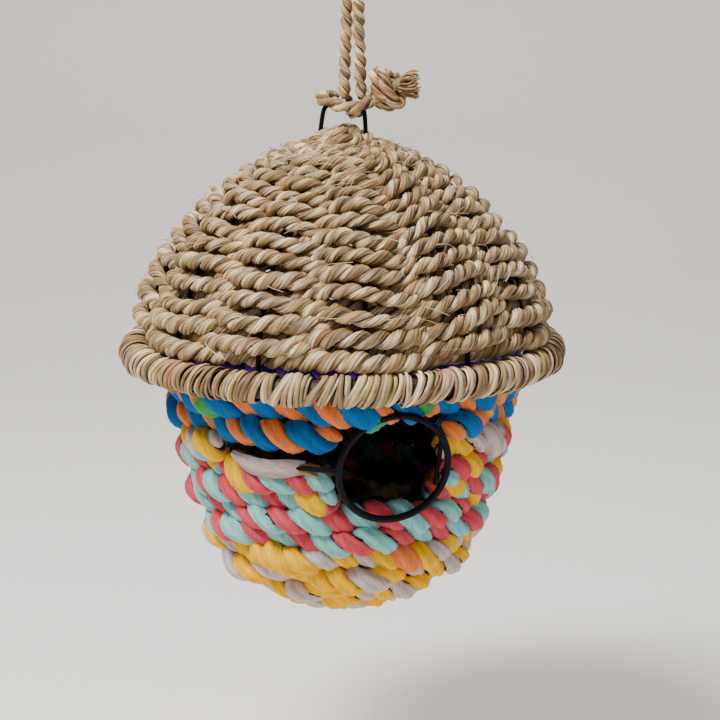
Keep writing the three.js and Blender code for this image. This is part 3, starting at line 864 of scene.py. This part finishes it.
def make_crown():
    rng = np.random.default_rng(40)
    shape = Shape()
    base = (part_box("crown_plug")[0][2] - AXIS[2]) / MM
    turns = 2.3
    t = np.linspace(0, 1, 110)
    angle = TURN * turns * t + 2.4
    radius = 12.4 * (1 - t) ** 0.8 + 0.5 + 0.7 * np.sin(5.3 * angle)
    line = respaced(around(angle, radius, base + 1.8 + 5.4 * t ** 1.2), 0.8)
    rope(shape, rng, line, np.broadcast_to((0, 0, 1.0), line.shape), 3.3, 13.0, -1, False,
         seagrass_tints(rng, 8), sides=24, lobes=8, lobe_depth=0.15, own_twist=0.03, lump=0.12, core=PAINTED_SHADE_BROWN)
    piece = shape.build("crown_coil", seagrass)
    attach(piece, "house")
    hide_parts("crown_plug")


make_crown()

# ---- Rim binding: seagrass blades wound round the eave ring --------------------------------------------

RIM_TUBE = 5.0
WRAP_WIDTH = 4.2
BLADES_PER_WRAP = 3


def make_binding():
    """Wraps of a few narrow blades each, over a dark core tube that is painted shade in the gaps between
    wraps; every wrap leans and bulges in its own way.
    """
    rng = np.random.default_rng(60)
    shape = Shape()
    # A dark tube round the ring under the wraps: painted shade in the gaps between them.
    plain_tube(shape, ring_points(RIM_RADIUS, 0.0, 180), RIM_TUBE - 0.9, 14, PAINTED_SHADE_BROWN, True)
    wraps = int(TURN * RIM_RADIUS / WRAP_WIDTH)
    widths = rng.uniform(0.7, 1.3, wraps)
    edges = np.concatenate([[0], np.cumsum(widths)]) / widths.sum() * TURN
    spin = np.linspace(0, TURN, 22, endpoint=False)
    sides = 8
    phi = np.arange(sides) / sides * TURN
    for k in range(wraps):
        wide = (edges[k + 1] - edges[k]) * RIM_RADIUS
        bulge = rng.uniform(-0.35, 0.45)
        lean = rng.normal(2.3, 0.9)
        wrap_tone = rng.uniform(0.6, 1.2)
        for blade in range(BLADES_PER_WRAP):
            across = (blade + 0.5) / BLADES_PER_WRAP - 0.5
            tube = RIM_TUBE + bulge + 0.9 * (1 - (2.4 * across) ** 2) + rng.uniform(-0.3, 0.3)
            slip = lean * np.sin(spin) + rng.normal(0, 0.4) * np.cos(spin + rng.random() * TURN)
            angle = (edges[k] + edges[k + 1]) / 2 + (across * wide * 0.84 + slip) / RIM_RADIUS
            ripple = tube + 0.25 * np.cos(2 * spin + rng.random() * TURN)
            radius = RIM_RADIUS + ripple * np.cos(spin)
            line = around(angle, radius, ripple * np.sin(spin))
            out = outward(angle, np.cos(spin), 0) + np.stack([0 * spin, 0 * spin, np.sin(spin)], -1)
            half = wide / BLADES_PER_WRAP * rng.uniform(0.5, 0.68)
            outline = np.full((len(spin), sides), half)
            rings = rings_along(line, out, True, outline, width=1.0, depth=0.62)
            tone = rng.random()
            colour = STRAW + (PALE - STRAW) * max(0, tone - 0.45) * 1.6
            colour = colour + (BROWN - STRAW) * max(0, 0.3 - tone) * 1.5
            if rng.random() < 0.12:
                colour = colour + (PINK - colour) * 0.6
            if rng.random() < 0.1:
                colour = colour + (GREEN - colour) * 0.6
            # Painted shade: each blade darker on its side toward the ring.
            shade = np.clip(0.62 + 0.5 * np.cos(phi), 0.25, 1)[None, :, None]
            shape.tube(rings, colour[None, None] * wrap_tone * shade, True)
    piece = shape.build("rim_winding", binding)
    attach(piece, "house")
    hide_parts("rim_binding")


make_binding()

# ---- Wall cords -------------------------------------------------------------------------------------

BLUE = np.array((0.0, 0.145, 0.44))
ORANGE = np.array((0.86, 0.22, 0.055))
LEAF = np.array((0.06, 0.36, 0.09))
YELLOW = np.array((0.96, 0.51, 0.0))
CREAM = np.array((0.62, 0.50, 0.48))
AQUA = np.array((0.24, 0.60, 0.58))
CORAL = np.array((0.66, 0.07, 0.10))
PURPLE = np.array((0.20, 0.05, 0.66))
# Colour of the wall cords' dark cores: painted shade between the plies.
PAINTED_SHADE_NIGHT = np.array((0.010, 0.004, 0.004))

WALL_FIRST_PITCH, WALL_PITCH, WALL_COURSES = 12.1, 9.4, 12
WALL_REACH, WALL_CORD = 2.6, 6.1
WALL_SAG = (3.4, 2.8, 2.5, 2.4, 1.8, 1.4, 1.0, 0.8, 0.5, 0.3, 0.0, 0.0)
INSIDE_SHADE = 0.08
TORN_COURSE, TORN_CORD_END = 2, -62.0
SCRAP_START, SCRAP_END = -57.0, -29.0
WALL_COLOURS = 2 * [(BLUE, ORANGE)] + [(YELLOW, CREAM)] + 4 * [(AQUA, CORAL)] + [
    (YELLOW, CREAM), (CREAM, YELLOW), (YELLOW, CREAM), (YELLOW, CREAM), (YELLOW, CREAM),
]
WALL_ACCENTS = {
    0: [(1, -63, 7, LEAF), (0, -6, 6, LEAF), (1, 8, 8, LEAF), (1, 130, 10, LEAF)],
    1: [(0, 41, 8, YELLOW)],
    2: [(1, -70, 9, AQUA), (0, 46, 12, CREAM), (1, 55, 10, CORAL)],
    3: [(0, -76, 13, YELLOW), (0, -53, 16, YELLOW), (0, 38, 13, YELLOW), (1, 150, 14, YELLOW)],
    4: [(1, -31, 14, YELLOW), (0, 27, 9, YELLOW), (0, 60, 12, YELLOW), (1, -120, 13, YELLOW)],
    5: [(0, 44, 9, YELLOW), (1, 200, 12, YELLOW)],
    7: [(1, -50, 30, YELLOW), (1, 10, 12, ORANGE)],
    8: [(0, -30, 26, YELLOW)],
}


def entrance_half_angle(height, radius):
    nearest = max(0.0, abs(height - ENTRANCE_HEIGHT) - ENTRANCE_CORD)
    if nearest >= ENTRANCE_RADIUS:
        return 0.0
    return math.degrees(math.asin((math.sqrt(ENTRANCE_RADIUS ** 2 - nearest ** 2) + 0.5) / radius))


def make_wall():
    start = along_where(lambda r, h: h <= -6.8)
    for i in range(WALL_COURSES):
        rng = np.random.default_rng(200 + i)
        along = start + (WALL_FIRST_PITCH + (i - 1) * WALL_PITCH if i else 0.0) + WALL_SAG[i]
        radius, height, _, _ = (float(v) for v in rib_at(along))
        phase = (-1 if i % 2 else 1) if radius > WEAVE_LIMIT else 0
        half = entrance_half_angle(height, radius + 2) if i in (1, 2, 3, 4) else 0.0
        closed = half == 0.0
        first, span = RIB_START, 360.0
        if not closed:
            first, span = half, 360 - half + (TORN_CORD_END if i == TORN_COURSE else -half)
        steps = int(math.radians(span) * radius)
        angles = np.radians(first + span * np.linspace(0, 1, steps, endpoint=not closed))
        reach = WALL_REACH if phase else WALL_CORD + 0.4
        line, normals = course(rng, along, reach, phase, angles, 0.5)
        accents = WALL_ACCENTS.get(i, [])
        shares = (1.17, 0.95) if i < 2 else (1.06, 0.98)
        shape = Shape()
        cord = WALL_CORD * (1.15 if i == 0 else 1.0)
        rope(shape, rng, line, normals, cord, rng.uniform(16.5, 20.0), 1, closed,
             cotton_tints(WALL_COLOURS[i], accents, first, span), sides=20, lobes=5, lobe_depth=0.14,
             own_twist=0.12, squeeze=0.66, lump=0.11, swell=accent_swell(accents, first, span, 0.3, shares),
             sharp=0.7, core=PAINTED_SHADE_NIGHT)
        shade_inside(shape)
        if i == TORN_COURSE:
            add_scrap(shape, rng, along)
        piece = shape.build(f"wall_cord_{i + 1:02d}", cotton)
        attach(piece, "house")
        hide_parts(f"wall_course_{i + 1:02d}")


def shade_inside(shape):
    """Cords are painted darker on the house's inner side: painted shade for the light that does not reach
    inside.
    """
    for k, points in enumerate(shape.points):
        across = np.hypot(points[:, 0], points[:, 1])
        inner = np.interp(points[:, 2], rib_line[::-1, 2], rib_line[::-1, 0]) - 1.5
        shape.tints[k] = shape.tints[k] * np.clip(1 + (across - inner) / 4.5, INSIDE_SHADE, 1)[:, None]


def add_scrap(shape, rng, along):
    """The torn end: a flat off-white strip that lies over the ribs, with a brown shred at its tip."""
    t = np.linspace(0, 1, 34)
    angles = np.radians(SCRAP_START + (SCRAP_END - SCRAP_START) * t)
    radius, height, out, up = rib_at(along + 1.5 + 1.6 * t)
    normals = outward(angles, out, up)
    lift = 0.5 + 7.2 * np.sin(np.pi * np.clip(t * 0.75 + 0.1, 0, 1))
    line = around(angles, radius, height) + normals * lift[:, None]
    phi = np.arange(20) / 20 * TURN
    fold = 1 + 0.16 * np.cos(3 * phi[None] + 5 * t[:, None]) + 0.08 * np.cos(7 * phi[None] - 9 * t[:, None])
    wide = 0.6 + 3.1 * np.sin(np.pi * np.clip(0.12 + 0.66 * t, 0, 1))
    rings = rings_along(line, normals, False, wide[:, None] * fold, width=1.0, depth=0.5)
    # Painted shade: three darker bands round the strip, in the hollows of its folds.
    shade = (0.82 + 0.18 * np.cos(3 * phi))[None, :, None]
    shape.tube(rings, CREAM[None, None] * 0.8 * shade, False)
    tip, aim = line[-1], line[-1] - line[-4]
    aim = aim / np.linalg.norm(aim)
    for _ in range(9):
        s = np.linspace(0, 1, 7)[:, None]
        side = rng.normal(size=3)
        shred = tip + aim * (7.5 * s - 2.5) + side * (0.9 + 0.5 * s) + np.array((0, 0, -1.5)) * s ** 2
        colour = np.array((0.42, 0.17, 0.03)) * rng.uniform(0.5, 1.3)
        plain_tube(shape, shred, rng.uniform(0.35, 0.7), 6, colour)


make_wall()


LINING_CORD = 2.9            # radius of the lining's solid


def make_lining():
    rng = np.random.default_rng(250)
    low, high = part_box("eave_lining")
    radius = (high[0] - low[0]) / 2 / MM - LINING_CORD
    angles = full_angles(radius, 1.2)
    line = around(angles, np.full(len(angles), radius), height_of("eave_lining"))
    shape = Shape()
    rope(shape, rng, line, outward(angles, 1, 0), 3.9, 13.0, 1, True,
         cotton_tints([PURPLE, np.array((0.03, 0.05, 0.30))]), sides=14, lobes=3)
    piece = shape.build("lining_cord", cotton)
    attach(piece, "house")
    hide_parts("eave_lining")


make_lining()


def make_base():
    rng = np.random.default_rng(260)
    shape = Shape()
    top = (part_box("base_pad")[1][2] - AXIS[2]) / MM
    t = np.linspace(0, 1, 120)
    angle = TURN * 2.2 * t
    radius = 11.5 * (1 - t) ** 0.9 + 0.8
    line = respaced(around(angle, radius, top - 3.8 - 1.2 * t), 0.9)
    rope(shape, rng, line, np.broadcast_to((0, 0, -1.0), line.shape), 3.9, 13.0, 1, False,
         cotton_tints([YELLOW, CREAM]), sides=16, lobes=3)
    piece = shape.build("base_coil", cotton)
    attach(piece, "house")
    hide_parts("base_pad")


make_base()

# ---- Stage and light ----------------------------------------------------------------------------------


def stage_material():
    material, _, _, bsdf = shader("stage", 0.9, 0.2)
    bsdf.inputs["Base Color"].default_value = (0.86, 0.82, 0.78, 1)
    return material


def make_stage():
    floor_z = cad_box[0][2] - 0.10
    back = 1.6
    depth = [-2.6, -1.2, 0.0, 0.9, 1.2, 1.45, 1.58, back, back]
    rise = [0.0, 0.0, 0.0, 0.0, 0.04, 0.16, 0.34, 0.6, 2.6]
    along = Vector((-math.sin(VIEW_AZIMUTH), math.cos(VIEW_AZIMUTH), 0))
    side = Vector((math.cos(VIEW_AZIMUTH), math.sin(VIEW_AZIMUTH), 0))
    verts, faces = [], []
    for d, z in zip(depth, rise):
        for x in (-3.0, 3.0):
            verts.append(along * d + side * x + Vector((0, 0, floor_z + z)))
    for k in range(len(depth) - 1):
        faces.append((2 * k, 2 * k + 1, 2 * k + 3, 2 * k + 2))
    mesh = bpy.data.meshes.new("backdrop")
    mesh.from_pydata(verts, [], faces)
    mesh.polygons.foreach_set("use_smooth", [True] * len(faces))
    mesh.materials.append(stage_material())
    backdrop = bpy.data.objects.new("backdrop", mesh)
    bpy.context.collection.objects.link(backdrop)


def area_light(name, azimuth, elevation, distance, size, power, colour=(1, 1, 1)):
    data = bpy.data.lights.new(name, "AREA")
    data.energy = power
    data.size = size
    data.color = colour
    light = bpy.data.objects.new(name, data)
    bpy.context.collection.objects.link(light)
    a, e = math.radians(azimuth), math.radians(elevation)
    direction = Vector((math.sin(a) * math.cos(e), -math.cos(a) * math.cos(e), math.sin(e)))
    light.location = Vector(AXIS) + direction * distance
    light.rotation_mode = "QUATERNION"
    light.rotation_quaternion = direction.to_track_quat("Z", "Y")


make_stage()
# Azimuth and elevation in degrees, distance and size in metres, power in watts.
area_light("key", -62, 54, 1.3, 0.36, 34, (1.0, 0.97, 0.92))
area_light("fill", 40, 12, 1.5, 1.2, 3, (0.94, 0.97, 1.0))
area_light("top", 140, 66, 1.4, 0.7, 12)
world = bpy.data.worlds.new("soft_room")
world.use_nodes = True
world.node_tree.nodes["Background"].inputs["Color"].default_value = (0.92, 0.93, 0.95, 1)
world.node_tree.nodes["Background"].inputs["Strength"].default_value = 0.30
bpy.context.scene.world = world
